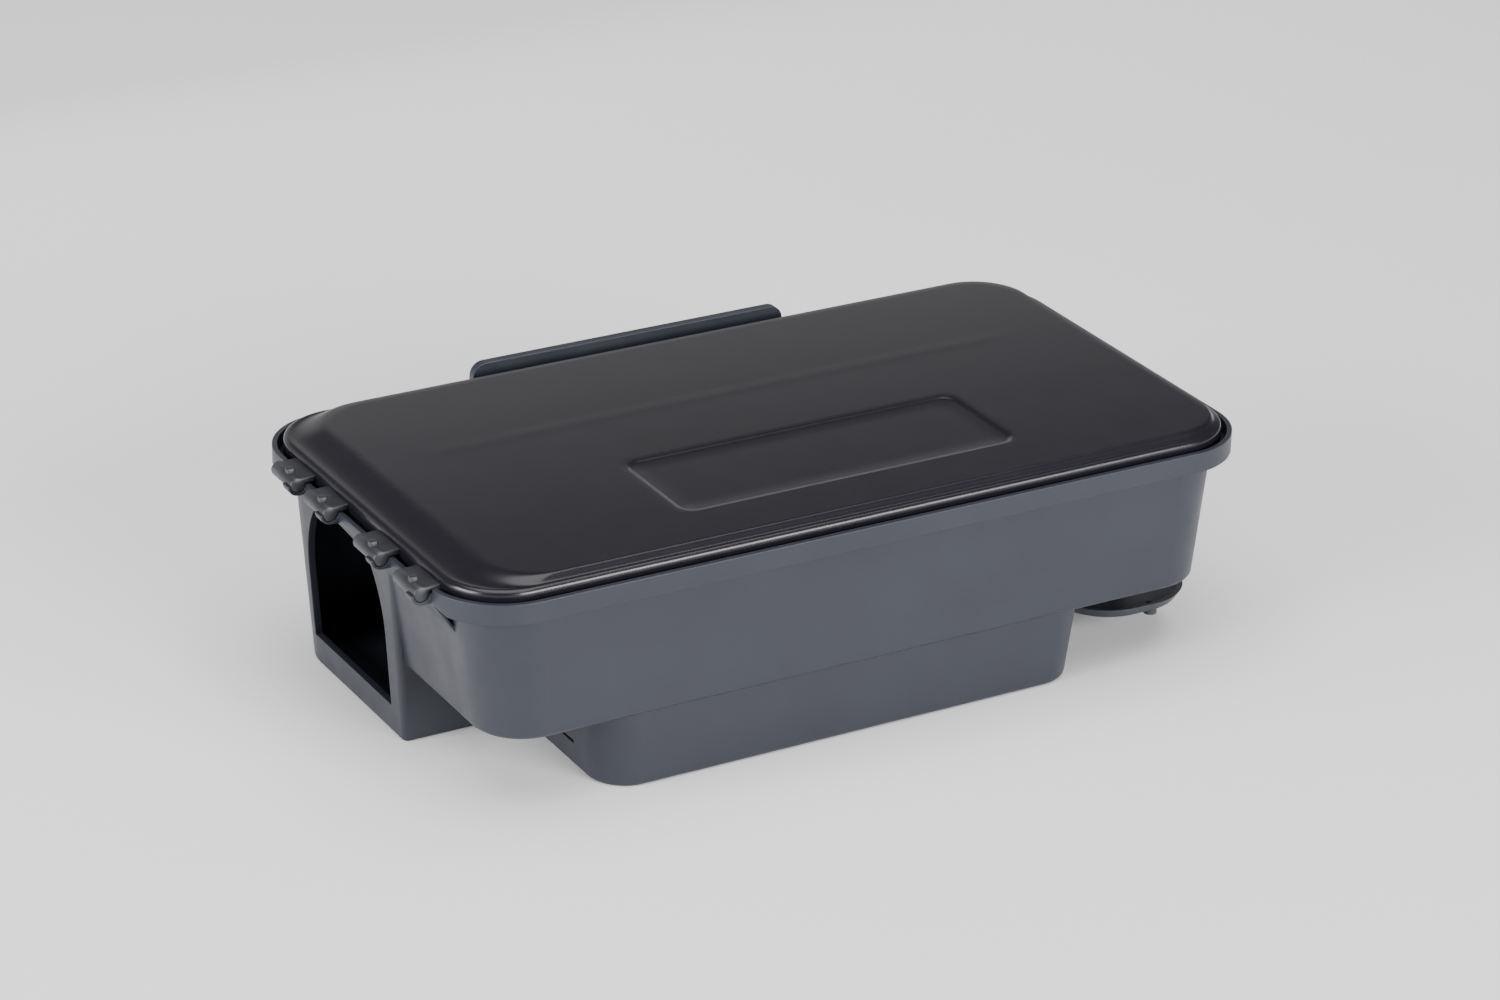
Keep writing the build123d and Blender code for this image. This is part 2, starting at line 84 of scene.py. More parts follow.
class Graph:
    """A small wrapper that adds and joins the nodes of one material."""

    def __init__(self, name: str) -> None:
        """Starts an empty material with an output and a principled shader.

        Args:
            name: the material's name.
        """
        self.material = bpy.data.materials.new(name)
        self.material.use_nodes = True
        self.tree = self.material.node_tree
        self.tree.nodes.clear()
        self.shader = self.add("ShaderNodeBsdfPrincipled")
        out = self.add("ShaderNodeOutputMaterial")
        self.join(self.shader.outputs["BSDF"], out.inputs["Surface"])
        self.place = self.add("ShaderNodeTexCoord").outputs["Object"]

    def add(self, kind: str, **settings: object) -> bpy.types.Node:
        """Adds a node.

        Args:
            kind: the node's type name.
            settings: properties to set on it.

        Returns:
            The new node.
        """
        node = self.tree.nodes.new(kind)
        for key, value in settings.items():
            setattr(node, key, value)
        return node

    def join(self, source: bpy.types.NodeSocket, target: bpy.types.NodeSocket) -> None:
        """Links one socket to another."""
        self.tree.links.new(source, target)

    def stretched(self, scale: Triple) -> bpy.types.NodeSocket:
        """Object coordinates stretched by a factor along each axis.

        Args:
            scale: factor along X, Y and Z.

        Returns:
            The stretched coordinates' socket.
        """
        node = self.add("ShaderNodeMapping")
        node.inputs["Scale"].default_value = scale
        self.join(self.place, node.inputs["Vector"])
        return node.outputs["Vector"]

    def noise(self, size: float, detail: float = 3.0, vector: bpy.types.NodeSocket = None,
              rough: float = 0.5) -> bpy.types.NodeSocket:
        """Fractal noise whose features are about one size across.

        Args:
            size: feature size in metres.
            detail: number of octaves.
            vector: coordinates, or None for plain Object coordinates.
            rough: how strong the fine octaves are.

        Returns:
            The noise value's socket.
        """
        node = self.add("ShaderNodeTexNoise")
        node.inputs["Scale"].default_value = 1.0 / size
        node.inputs["Detail"].default_value = detail
        node.inputs["Roughness"].default_value = rough
        self.join(vector or self.place, node.inputs["Vector"])
        return node.outputs["Fac"]

    def remap(self, value: bpy.types.NodeSocket, low: float, high: float,
              to_low: float, to_high: float) -> bpy.types.NodeSocket:
        """Maps a value from one range to another, clamped.

        Args:
            value: the input socket.
            low: input at the start of the range.
            high: input at the end of the range.
            to_low: output at the start.
            to_high: output at the end.

        Returns:
            The mapped value's socket.
        """
        node = self.add("ShaderNodeMapRange")
        ends = {"From Min": low, "From Max": high, "To Min": to_low, "To Max": to_high}
        for key, number in ends.items():
            node.inputs[key].default_value = number
        self.join(value, node.inputs["Value"])
        return node.outputs["Result"]

    def specks(self, spacing: float, share: float) -> bpy.types.NodeSocket:
        """Sparse round specks, one at most in each cell of a Voronoi pattern.

        Args:
            spacing: cell size in metres.
            share: speck radius as a share of a cell.

        Returns:
            A socket that is 1 in a speck and 0 elsewhere.
        """
        cells = self.add("ShaderNodeTexVoronoi")
        cells.inputs["Scale"].default_value = 1.0 / spacing
        self.join(self.place, cells.inputs["Vector"])
        return self.remap(cells.outputs["Distance"], share * 0.6, share, 1.0, 0.0)

    def mix(self, factor: bpy.types.NodeSocket, first: object, second: object) -> bpy.types.NodeSocket:
        """Mixes two colours, each a socket or a fixed colour.

        Args:
            factor: 0 gives the first colour and 1 the second.
            first: first colour.
            second: second colour.

        Returns:
            The mixed colour's socket.
        """
        node = self.add("ShaderNodeMix", data_type="RGBA")
        self.join(factor, node.inputs[0])
        for socket, value in ((node.inputs[6], first), (node.inputs[7], second)):
            if isinstance(value, tuple):
                socket.default_value = (*value, 1.0)
            else:
                self.join(value, socket)
        return node.outputs[2]

    def bump(self, height: bpy.types.NodeSocket, depth: float, strength: float,
             normal: bpy.types.NodeSocket = None) -> bpy.types.NodeSocket:
        """A bump from a height value.

        Args:
            height: height socket, 0 to 1.
            depth: full height in metres.
            strength: share of the bump that is used.
            normal: normal to build on, or None.

        Returns:
            The bumped normal's socket.
        """
        node = self.add("ShaderNodeBump")
        node.inputs["Distance"].default_value = depth
        node.inputs["Strength"].default_value = strength
        self.join(height, node.inputs["Height"])
        if normal is not None:
            self.join(normal, node.inputs["Normal"])
        return node.outputs["Normal"]


def shade(colour: Colour, by: float) -> Colour:
    """A colour made lighter or darker by a factor."""
    return tuple(min(1.0, c * by) for c in colour)


@dataclass(frozen=True)
class MouldedPlastic:
    """Injection-moulded plastic: fine spark-eroded grain, flow mottling, edges lightened partly as rubbed
    wear and partly as a painted highlight, and a few specks.
    """

    name: str
    colour: Colour
    roughness: float
    grain: float = 0.45 * MM
    grain_depth: float = 0.03 * MM
    mottle: float = 0.10
    edge: float = 0.45 * MM
    edge_wear_and_highlight: float = 0.35
    speck: float = 0.0
    gloss: float = 0.5
    patch: float = 0.05

    def build(self) -> bpy.types.Material:
        """Builds the material.

        Returns:
            The finished material.
        """
        g = Graph(self.name)
        clouds = g.remap(g.noise(26 * MM, 4.0), 0.3, 0.7, 0.0, 1.0)
        colour = g.mix(clouds, shade(self.colour, 1 - self.mottle), shade(self.colour, 1 + self.mottle))
        flow = g.remap(g.noise(5 * MM, 3.0, g.stretched((0.25, 1.0, 0.6))), 0.35, 0.65, 0.0, 0.35)
        colour = g.mix(flow, colour, shade(self.colour, 1 + 1.4 * self.mottle))

        soft = g.add("ShaderNodeBevel", samples=6)
        soft.inputs["Radius"].default_value = self.edge
        flat = g.add("ShaderNodeNewGeometry")
        turn = g.add("ShaderNodeVectorMath", operation="DOT_PRODUCT")
        g.join(soft.outputs["Normal"], turn.inputs[0])
        g.join(flat.outputs["Normal"], turn.inputs[1])
        # Edges are made lighter in the colour: partly rubbed wear, partly a painted highlight along every
        # edge.
        wear_and_highlight = g.remap(turn.outputs["Value"], 0.80, 0.995, self.edge_wear_and_highlight, 0.0)
        colour = g.mix(wear_and_highlight, colour, shade(self.colour, 2.2))
        if self.speck > 0:
            colour = g.mix(g.specks(19 * MM, self.speck), colour, shade(self.colour, 3.2))
        g.join(colour, g.shader.inputs["Base Color"])

        patches = g.noise(9 * MM, 3.0)
        g.join(g.remap(patches, 0.3, 0.7, self.roughness - self.patch, self.roughness + self.patch),
               g.shader.inputs["Roughness"])
        g.shader.inputs["Specular IOR Level"].default_value = self.gloss

        fine = g.bump(g.noise(self.grain, 2.0), self.grain_depth, 0.5, soft.outputs["Normal"])
        sink = g.bump(g.noise(34 * MM, 1.0), 0.12 * MM, 0.25, fine)
        g.join(sink, g.shader.inputs["Normal"])
        return g.material


@dataclass(frozen=True)
class DrawnSteel:
    """Plated steel wire: fine draw lines along its length and dulled patches."""

    name: str
    colour: Colour
    roughness: float = 0.28

    def build(self) -> bpy.types.Material:
        """Builds the material.

        Returns:
            The finished material.
        """
        g = Graph(self.name)
        g.shader.inputs["Metallic"].default_value = 1.0
        dull = g.remap(g.noise(4 * MM, 4.0), 0.4, 0.7, 0.0, 0.7)
        g.join(g.mix(dull, self.colour, shade(self.colour, 0.72)), g.shader.inputs["Base Color"])
        g.join(g.remap(g.noise(2 * MM, 3.0), 0.3, 0.7, self.roughness - 0.08, self.roughness + 0.12),
               g.shader.inputs["Roughness"])
        lines = g.noise(0.25 * MM, 2.0, g.stretched((1.0, 1.0, 0.02)))
        g.join(g.bump(lines, 0.01 * MM, 0.6), g.shader.inputs["Normal"])
        return g.material


@dataclass(frozen=True)
class PressedWax:
    """Bait wax: pressed grains in dyed wax, with a greasy sheen."""

    name: str
    colour: Colour
    grain_colour: Colour
    roughness: float = 0.55

    def build(self) -> bpy.types.Material:
        """Builds the material.

        Returns:
            The finished material.
        """
        g = Graph(self.name)
        cells = g.add("ShaderNodeTexVoronoi")
        cells.inputs["Scale"].default_value = 1.0 / (2.6 * MM)
        g.join(g.place, cells.inputs["Vector"])
        grains = g.remap(cells.outputs["Distance"], 0.15, 0.42, 0.75, 0.0)
        base = g.mix(g.remap(g.noise(8 * MM, 4.0), 0.3, 0.7, 0.0, 1.0), shade(self.colour, 0.8),
                     shade(self.colour, 1.2))
        g.join(g.mix(grains, base, self.grain_colour), g.shader.inputs["Base Color"])
        g.join(g.remap(grains, 0.0, 0.75, self.roughness - 0.1, self.roughness + 0.2),
               g.shader.inputs["Roughness"])
        g.shader.inputs["Subsurface Weight"].default_value = 0.08
        g.shader.inputs["Subsurface Radius"].default_value = (0.002, 0.003, 0.003)
        rough = g.bump(g.noise(0.9 * MM, 4.0), 0.18 * MM, 0.6)
        g.join(g.bump(grains, 0.25 * MM, 0.7, rough), g.shader.inputs["Normal"])
        return g.material


@dataclass(frozen=True)
class PaleFloor:
    """A plain pale studio floor with faint unevenness."""

    name: str = "pale_floor"
    colour: Colour = (0.90, 0.90, 0.905)

    def build(self) -> bpy.types.Material:
        """Builds the material.

        Returns:
            The finished material.
        """
        g = Graph(self.name)
        clouds = g.remap(g.noise(0.4, 2.0), 0.3, 0.7, 0.0, 1.0)
        colour = g.mix(clouds, shade(self.colour, 0.99), shade(self.colour, 1.01))
        g.join(colour, g.shader.inputs["Base Color"])
        g.shader.inputs["Roughness"].default_value = 0.9
        g.shader.inputs["Specular IOR Level"].default_value = 0.1
        return g.material


# --- surfaces --------------------------------------------------------------------------------------


@dataclass(frozen=True)
class Ring:
    """One rounded rectangle at one height: the section of a lofted surface."""

    x_low: float
    x_high: float
    y_low: float
    y_high: float
    corner: float
    z: float

    def inset(self, by: float, z: float) -> "Ring":
        """The same ring moved inwards, at another height."""
        return Ring(self.x_low + by, self.x_high - by, self.y_low + by, self.y_high - by,
                    max(self.corner - by, 0.3 * MM), z)

    def towards(self, other: "Ring", t: float) -> "Ring":
        """The ring a share t of the way to another one."""
        pairs = zip(self.numbers(), other.numbers())
        return Ring(*(a * (1 - t) + b * t for a, b in pairs))

    def numbers(self) -> tuple[float, ...]:
        """All six values in order."""
        return (self.x_low, self.x_high, self.y_low, self.y_high, self.corner, self.z)

    def points(self, side: int, turn: int) -> np.ndarray:
        """Points round the ring.

        Four quarter circles of the corner radius are joined by four straight sides. Each side and each
        quarter always has the same number of points, so that any two rings match point by point.

        Args:
            side: points along each straight side.
            turn: points round each corner.

        Returns:
            An array of shape (4 * (side + turn), 3), counter-clockwise from the +X side.
        """
        r = self.corner
        centres = np.array([(self.x_high - r, self.y_high - r), (self.x_low + r, self.y_high - r),
                            (self.x_low + r, self.y_low + r), (self.x_high - r, self.y_low + r)])
        quarter = np.linspace(0, np.pi / 2, turn)[None, :] + (np.arange(4) * np.pi / 2)[:, None]
        arcs = centres[:, None, :] + r * np.stack([np.cos(quarter), np.sin(quarter)], -1)
        step = np.linspace(0, 1, side + 2)[1:-1][None, :, None]
        runs = arcs[:, -1:, :] * (1 - step) + np.roll(arcs, -1, 0)[:, :1, :] * step
        flat = np.concatenate([arcs, runs], 1).reshape(-1, 2)
        return np.column_stack([flat, np.full(len(flat), self.z)])


def grid_faces(rows: int, columns: int, first: int = 0, closed: bool = False) -> np.ndarray:
    """Quads between rows of points that each go round.

    Args:
        rows: number of rows.
        columns: points in each row; the last joins the first.
        first: index of the first point.
        closed: whether the last row joins the first one too.

    Returns:
        An array of quads, four indices each.
    """
    last = rows if closed else rows - 1
    r = np.arange(last)[:, None]
    c = np.arange(columns)[None, :]
    after = (r + 1) % rows
    along = (c + 1) % columns
    near, far = r * columns, after * columns
    quads = np.stack([near + c, near + along, far + along, far + c], -1)
    return quads.reshape(-1, 4) + first


def end_caps(columns: int, total: int) -> list[list[int]]:
    """The first and the last row of points as two faces that look away from each other.

    Args:
        columns: points in each row.
        total: points in all rows.

    Returns:
        Two lists of indices.
    """
    return [list(range(columns))[::-1], list(range(total - columns, total))]


def put_mesh(name: str, points: np.ndarray, quads: np.ndarray, caps: list[list[int]],
             sharp: float = 38.0) -> bpy.types.Object:
    """Makes an object from points and faces, smooth except at sharp edges.

    Args:
        name: the object's name.
        points: array of vertex places.
        quads: array of quads.
        caps: further faces, each a list of indices.
        sharp: angle in degrees above which an edge stays sharp.

    Returns:
        The new object, linked to the scene.
    """
    mesh = bpy.data.meshes.new(name)
    mesh.from_pydata(points.tolist(), [], quads.tolist() + caps)
    mesh.validate()
    mesh.polygons.foreach_set("use_smooth", np.ones(len(mesh.polygons), bool))
    mesh.set_sharp_from_angle(angle=math.radians(sharp))
    mesh.update()
    piece = bpy.data.objects.new(name, mesh)
    bpy.context.scene.collection.objects.link(piece)
    return piece


def dress(piece: bpy.types.Object, material: bpy.types.Material) -> None:
    """Gives a piece one material."""
    piece.data.materials.clear()
    piece.data.materials.append(material)


def smooth_step(t: np.ndarray) -> np.ndarray:
    """Three t squared less two t cubed, with t held between 0 and 1."""
    t = np.clip(t, 0, 1)
    return t * t * (3 - 2 * t)


# --- lid -------------------------------------------------------------------------------------------


@dataclass
class Lid:
    """The lid: lofted skin, four hinge arms with barrels and nubs, and the catch plate."""

    half_length: float = 117.0 * MM
    half_width: float = 63.6 * MM
    corner: float = 18.4 * MM
    bottom: float = 60.0 * MM
    side_top: float = 66.0 * MM
    top: float = 67.7 * MM
    wall: float = 1.8 * MM
    roll: float = 1.5 * MM
    shoulder: float = 3.4 * MM
    hinge_shoulder: float = 11.6 * MM
    valley: float = 0.55 * MM
    valley_start: float = 86.0 * MM
    valley_fade: float = 24.0 * MM
    foot: float = 0.35 * MM
    panel_rows: int = 33
    ridge_y: float = 20.0 * MM
    ridge_height: float = 0.05 * MM
    ridge_spread: float = 1.3 * MM
    ridge_reach: float = 100.0 * MM
    ridge_fade: float = 20.0 * MM
    label: Ring = field(default_factory=lambda: Ring(
        -46 * MM, 56 * MM, -44.2 * MM, -9 * MM, 5 * MM, 67.7 * MM))
    label_depth: float = 0.5 * MM
    label_slope: float = 1.7 * MM
    label_lead: float = 0.25 * MM
    label_middle: float = 16.0 * MM
    hinge_x: float = -122.1 * MM
    hinge_z: float = 62.2 * MM
    barrel: float = 2.1 * MM
    arm_gap: float = 0.4 * MM
    arm: float = 1.5 * MM
    lug_length: float = 13.0 * MM
    lug_centres: tuple[float, ...] = (-40.2 * MM, -16.6 * MM, 14.2 * MM, 34.6 * MM)
    catch_gap: float = 0.5 * MM
    catch_width: float = 15.0 * MM
    catch_corner: float = 1.0 * MM
    catch_x: float = 107.2 * MM
    catch_thickness: float = 1.5 * MM
    catch_edge: float = 0.2 * MM
    catch_draw: float = 0.015
    side_points: int = 30
    turn_points: int = 18

    def skin(self) -> bpy.types.Object:
        """Lofts the shell from the middle of its underside, round its edge, to the middle of its top.

        Every section is a rounded rectangle. The side goes up, a quarter circle rolls it over, a
        shoulder climbs to the crease as a smooth step, and the panel is flat up to the label recess.
        On the hinge side the shoulder is wide and dips by a half sine wave before the crease.

        Returns:
            The shell.
        """
        edge = Ring(-self.half_length, self.half_length, -self.half_width, self.half_width,
                    self.corner, self.bottom)
        under = self.side_top - self.wall
        centre = Ring(-60 * MM, 60 * MM, -3 * MM, 3 * MM, 2 * MM, under)
        inner_top = edge.inset(self.wall, under)
        rings = [centre.towards(inner_top, t) for t in np.linspace(0, 1, 5)]
        rings += [edge.inset(self.wall, z) for z in np.linspace(under, self.bottom, 4)[1:]]
        foot = self.foot
        turn = np.linspace(0, np.pi / 2, 4)
        rings += [edge.inset(foot - foot * math.sin(a), self.bottom + foot - foot * math.cos(a))
                  for a in turn]
        side_high = self.side_top - self.roll
        rings += [edge.inset(0, z) for z in np.linspace(self.bottom + foot, side_high, 4)[1:]]
        arc = np.linspace(0, np.pi / 2, 8)[1:]
        rings += [edge.inset(self.roll * (1 - math.cos(a)), side_high + self.roll * math.sin(a))
                  for a in arc]

        start = rings[-1]
        crease = Ring(-self.half_length + self.hinge_shoulder, self.half_length - self.shoulder,
                      -self.half_width + self.shoulder, self.half_width - self.shoulder,
                      self.corner - self.shoulder, self.top)
        before = len(rings)
        shares = np.linspace(0, 1, 15)[1:]
        rings += [start.towards(crease, t) for t in shares]
        panel_from = len(rings)
        label_edge = self.label.inset(-self.label_lead, self.top)
        rings += [crease.towards(label_edge, t) for t in np.linspace(0, 1, self.panel_rows + 1)[1:]]
        floor = self.top - self.label_depth
        falls = np.linspace(0, 1, 9)[1:]
        drops = self.top - self.label_depth * smooth_step(falls)
        rings += [self.label.inset(self.label_slope * t - self.label_lead, z)
                  for t, z in zip(falls, drops)]
        middle = self.label.inset(self.label_middle, floor)
        rings += [rings[-1].towards(middle, t) for t in (0.35, 0.7, 1.0)]

        grid = np.stack([ring.points(self.side_points, self.turn_points) for ring in rings])
        for row, t in enumerate(shares, before):
            near_hinge = smooth_step((-grid[row, :, 0] - self.valley_start) / self.valley_fade)
            climb = start.z + (self.top - start.z) * smooth_step(np.array(t))
            grid[row, :, 2] = climb - self.valley * near_hinge * math.sin(math.pi * t)
        panel = grid[panel_from:panel_from + self.panel_rows]
        bead = np.exp(-(((panel[..., 1] - self.ridge_y) / self.ridge_spread) ** 2))
        inside = smooth_step((self.ridge_reach - np.abs(panel[..., 0])) / self.ridge_fade)
        panel[..., 2] += self.ridge_height * bead * inside * (panel[..., 2] >= self.top - 1e-7)
        count = grid.shape[1]
        points = grid.reshape(-1, 3)
        quads = grid_faces(len(rings), count)
        caps = end_caps(count, len(points))
        return put_mesh("lid_shell", points, quads, caps, 50)

    def hinge_arm(self, index: int, centre: float) -> bpy.types.Object:
        """A barrel and its arm: one outline in XZ carried along Y, drawn in a little at both ends.

        The outline leaves the lid along the arm's underside, goes round the barrel's circle and comes
        back along the arm's top.

        Args:
            index: number of the arm, for its name.
            centre: middle of the arm along Y.

        Returns:
            The arm.
        """
        low = self.hinge_z + self.arm_gap
        high = low + self.arm
        root = -self.half_length + 0.5 * self.wall
        a_low = math.asin(self.arm_gap / self.barrel)
        a_high = math.asin(min(0.98, (self.arm_gap + self.arm) / self.barrel))
        sweep = np.linspace(2 * math.pi + a_low, a_high, 28)
        circle = np.column_stack([self.hinge_x + self.barrel * np.cos(sweep),
                                  self.hinge_z + self.barrel * np.sin(sweep)])
        outline = np.vstack([[root, low], circle, [root, high]])
        pull = 0.3 * MM
        half = self.lug_length / 2
        along = np.array([-half, -half + 0.1 * MM, -half + pull, half - pull, half - 0.1 * MM, half])
        draw = np.array([pull, 0.12 * MM, 0.0, 0.0, 0.12 * MM, pull])
        heart = np.array([self.hinge_x, self.hinge_z + 0.3 * MM])
        away = outline - heart
        shrink = 1 - draw[:, None, None] / np.linalg.norm(away, axis=1)[None, :, None]
        flat = heart + away[None] * shrink
        grid = np.stack([flat[..., 0], np.broadcast_to((centre + along)[:, None], flat.shape[:2]),
                         flat[..., 1]], -1)
        count = len(outline)
        points = grid.reshape(-1, 3)
        quads = grid_faces(len(along), count)
        caps = end_caps(count, len(points))
        return put_mesh(f"hinge_arm_{index}", points, quads, caps)

    def nub(self, index: int, centre: float) -> bpy.types.Object:
        """The small square catch on a barrel: rounded sections stacked in Z.

        Args:
            index: number of the nub, for its name.
            centre: middle of its arm along Y.

        Returns:
            The nub.
        """
        y = centre - self.lug_length / 2 + 4.0 * MM
        half = 1.1 * MM
        base = Ring(self.hinge_x - half, self.hinge_x + half, y, y + 2 * half, 0.5 * MM,
                    self.hinge_z + self.barrel - 1.1 * MM)
        top = base.z + 2.2 * MM
        rings = [base, base.inset(0, top - 0.3 * MM), base.inset(0.1 * MM, top - 0.1 * MM),
                 base.inset(0.3 * MM, top)]
        grid = np.stack([ring.points(2, 5) for ring in rings])
        count = grid.shape[1]
        points = grid.reshape(-1, 3)
        caps = end_caps(count, len(points))
        return put_mesh(f"hinge_nub_{index}", points, grid_faces(len(rings), count), caps)

    def catch(self) -> bpy.types.Object:
        """The plate over the lock tongue: an outline in YZ with two round lower corners, carried along X.

        Returns:
            The catch.
        """
        tongue_low, tongue_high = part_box("lock_tongue")
        y = (tongue_low.y + tongue_high.y) / 2
        low, high = tongue_high.z + self.catch_gap, self.side_top - self.wall / 2
        half, r = self.catch_width / 2, self.catch_corner
        left = np.linspace(np.pi, 1.5 * np.pi, 6)
        right = np.linspace(1.5 * np.pi, 2 * np.pi, 6)
        corners = [np.column_stack([middle + r * np.cos(sweep), low + r + r * np.sin(sweep)])
                   for middle, sweep in ((y - half + r, left), (y + half - r, right))]
        outline = np.vstack([[y - half, high], *corners, [y + half, high]])
        depths = (0.0, self.catch_edge, self.catch_thickness - self.catch_edge, self.catch_thickness)
        xs = self.catch_x + np.array(depths)
        heart = np.array([y, (low + high) / 2])
        pull = 1 - self.catch_draw * np.array([1, 0, 0, 1])[:, None, None]
        flat = heart + (outline - heart)[None] * pull
        grid = np.stack([np.broadcast_to(xs[:, None], flat.shape[:2]), flat[..., 0], flat[..., 1]], -1)
        count = len(outline)
        points = grid.reshape(-1, 3)
        caps = end_caps(count, len(points))
        return put_mesh("lid_catch", points, grid_faces(len(xs), count), caps)

    def build(self, skin_finish: bpy.types.Material, hinge_finish: bpy.types.Material) -> None:
        """Builds and dresses every piece of the lid.

        Args:
            skin_finish: material of the shell.
            hinge_finish: material of the arms, nubs and catch.
        """
        shell = self.skin()
        dress(shell, skin_finish)
        pieces = [shell]
        for index, centre in enumerate(self.lug_centres, 1):
            for piece in (self.hinge_arm(index, centre), self.nub(index, centre)):
                dress(piece, hinge_finish)
                pieces.append(piece)
        catch = self.catch()
        dress(catch, hinge_finish)
        pieces.append(catch)
        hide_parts("lid")
        for piece in pieces:
            make_outward(piece)
            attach(piece, Body.LID.value)
            LOG.info("lid piece %s, %d faces", piece.name, len(piece.data.polygons))


def make_outward(piece: bpy.types.Object) -> None:
    """Turns every face of a closed piece outwards."""
    work = bmesh.new()
    work.from_mesh(piece.data)
    bmesh.ops.recalc_face_normals(work, faces=work.faces)
    work.to_mesh(piece.data)
    work.free()


# --- bait ------------------------------------------------------------------------------------------


@dataclass
class BaitBlock:
    """A pressed wax block with a rod hole: a closed section carried round an eight-sided outline."""

    node: str
    side: float = 29.0 * MM
    height: float = 20.5 * MM
    cut: float = 4.0 * MM
    chamfer: float = 1.0 * MM
    hole: float = 1.9 * MM
    unevenness: float = 0.16 * MM
    around: int = 128

    def build(self, finish: bpy.types.Material) -> None:
        """Builds, dresses and mounts the block.

        The outline's distance from the rod is that of a square with cut corners, found as the least of
        the distances to the two pairs of faces. The section runs down the hole, out across the bottom,
        up the side, over the top and back. Sums of sine waves sink the surface a little.

        Args:
            finish: the wax material.
        """
        low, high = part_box(self.node)
        centre = (low + high) / 2
        angle = np.linspace(0, 2 * np.pi, self.around, endpoint=False)
        half = self.side / 2
        face = half / np.maximum(np.abs(np.cos(angle)), np.abs(np.sin(angle)))
        slant = (2 * half - self.cut) / (np.abs(np.cos(angle)) + np.abs(np.sin(angle)))
        outer = np.minimum(face, slant)
        c = self.chamfer
        h = self.height
        out = np.linspace(0, 1, 9)[1:]
        share = np.concatenate([np.zeros(5), out, np.ones(9), out[::-1]])
        z = np.concatenate([np.linspace(h, 0, 5), np.zeros(8), np.linspace(c, h - c, 9), np.full(8, h)])
        inner = np.concatenate([np.zeros(5), np.full(8, 1.0), np.zeros(9), np.full(8, 1.0)])
        reach = outer[None, :] - c * inner[:, None]
        radius = self.hole + share[:, None] * (reach - self.hole)
        x = radius * np.cos(angle)[None, :]
        y = radius * np.sin(angle)[None, :]
        zz = np.broadcast_to(z[:, None], x.shape)
        wave = (np.sin(x * 2300 + zz * 900 + centre.x * 700) + np.sin(y * 1900 - zz * 1500 + centre.z * 500)
                + np.sin(x * 3900 + y * 3100) + np.sin(zz * 4300 + x * 1300)) / 4
        dent = self.unevenness * 0.5 * (wave + 1)
        outward = share[:, None] > 0.98
        x = np.where(outward, x * (1 - dent / np.maximum(radius, MM)), x)
        y = np.where(outward, y * (1 - dent / np.maximum(radius, MM)), y)
        zz = zz + np.where(z[:, None] == h, -dent, 0) + np.where(z[:, None] == 0, dent, 0)
        points = np.stack([x + centre.x, y + centre.y, zz + low.z], -1).reshape(-1, 3)
        quads = grid_faces(len(z), self.around, closed=True)
        piece = put_mesh(self.node + "_wax", points, quads, [])
        make_outward(piece)
        dress(piece, finish)
        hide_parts(self.node)
        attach(piece, Body.CASE.value)
        LOG.info("block %s, %d faces", piece.name, len(piece.data.polygons))


# --- studio ----------------------------------------------------------------------------------------


@dataclass(frozen=True)
class SoftLight:
    """One rectangular soft box, aimed at the station."""

    name: str
    place: Triple
    width: float
    height: float
    power: float
    aim: Triple = (0.0, 0.0, 0.04)

    def build(self) -> None:
        """Adds the light, hidden from the camera."""
        data = bpy.data.lights.new(self.name, "AREA")
        data.shape = "RECTANGLE"
        data.size = self.width
        data.size_y = self.height
        data.energy = self.power
        lamp = bpy.data.objects.new(self.name, data)
        bpy.context.scene.collection.objects.link(lamp)
        lamp.location = self.place
        lamp.rotation_euler = (Vector(self.aim) - Vector(self.place)).to_track_quat("-Z", "Y").to_euler()
        lamp.visible_camera = False


